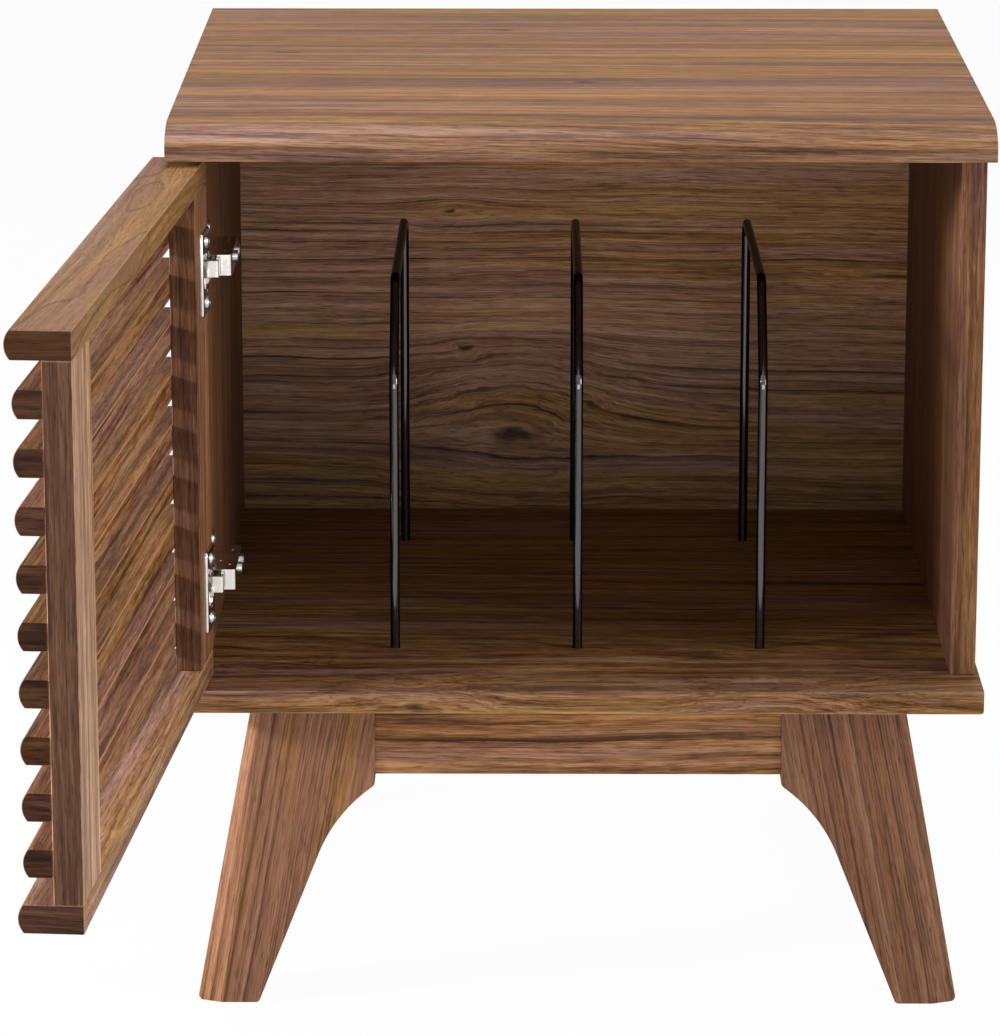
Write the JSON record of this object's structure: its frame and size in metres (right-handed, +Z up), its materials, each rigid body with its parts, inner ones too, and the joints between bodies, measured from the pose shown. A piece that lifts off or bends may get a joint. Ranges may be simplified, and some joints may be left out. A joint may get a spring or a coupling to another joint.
{
  "type": "record display stand",
  "caption": "Low walnut-finish record cabinet on splayed bracket legs, with a slatted door on concealed hinges and black wire hoops that part the records inside.",
  "frame": {"origin": "on the floor, under the middle of the top panel", "axes": "+Z up, +X to the right seen from the front, +Y towards the back; the door's open edge points to -Y"},
  "size_m": [0.5503, 0.9252, 0.567],
  "materials": {
    "walnut": "satin walnut veneer",
    "plain_wood": "bare",
    "black_wire": "gloss black",
    "bright_nickel": "bright plated",
    "screw_steel": "zinc plated",
    "glide": "matt dark brown"
  },
  "bodies": {
    "cabinet": {"apron_dowels": "plain_wood", "back_panel": "walnut", "base_screws": "screw_steel", "bottom_panel": "walnut", "corner_block_front_left": "plain_wood", "corner_block_front_right": "plain_wood", "corner_block_rear_left": "plain_wood", "corner_block_rear_right": "plain_wood", "corner_block_screws": "screw_steel", "divider_screws": "screw_steel", "foot_glides": "glide", "front_apron": "walnut", "hinge_adjusting_screws": "screw_steel", "hinge_arm_lower": "bright_nickel", "hinge_arm_pins": "bright_nickel", "hinge_arm_upper": "bright_nickel", "hinge_link_lower": "bright_nickel", "hinge_link_upper": "bright_nickel", "hinge_plate_lower": "bright_nickel", "hinge_plate_screws": "screw_steel", "hinge_plate_upper": "bright_nickel", "left_side_apron": "walnut", "left_side_panel": "walnut", "leg_dowels": "plain_wood", "leg_front_left": "walnut", "leg_front_right": "walnut", "leg_rear_left": "walnut", "leg_rear_right": "walnut", "panel_dowels": "plain_wood", "rear_apron": "walnut", "record_divider_left": "black_wire", "record_divider_middle": "black_wire", "record_divider_right": "black_wire", "right_side_apron": "walnut", "right_side_panel": "walnut", "top_panel": "walnut"},
    "door": {"door_bottom_rail": "walnut", "door_free_stile": "walnut", "door_hinge_stile": "walnut", "door_slat_1": "walnut", "door_slat_2": "walnut", "door_slat_3": "walnut", "door_slat_4": "walnut", "door_slat_5": "walnut", "door_slat_6": "walnut", "door_slat_7": "walnut", "door_slat_8": "walnut", "door_slat_9": "walnut", "door_top_rail": "walnut", "hinge_cup_lower": "bright_nickel", "hinge_cup_pins": "bright_nickel", "hinge_cup_screws": "screw_steel", "hinge_cup_upper": "bright_nickel", "rail_dowels": "plain_wood", "slat_dowels": "plain_wood"}
  },
  "joints": [
    {"name": "door_swing", "type": "hinge", "parent": "cabinet", "child": "door", "pos_m": [-0.2367, -0.2093, 0.4], "axis": [0, 0, 1], "range_deg": [0, 94.4]}
  ]
}
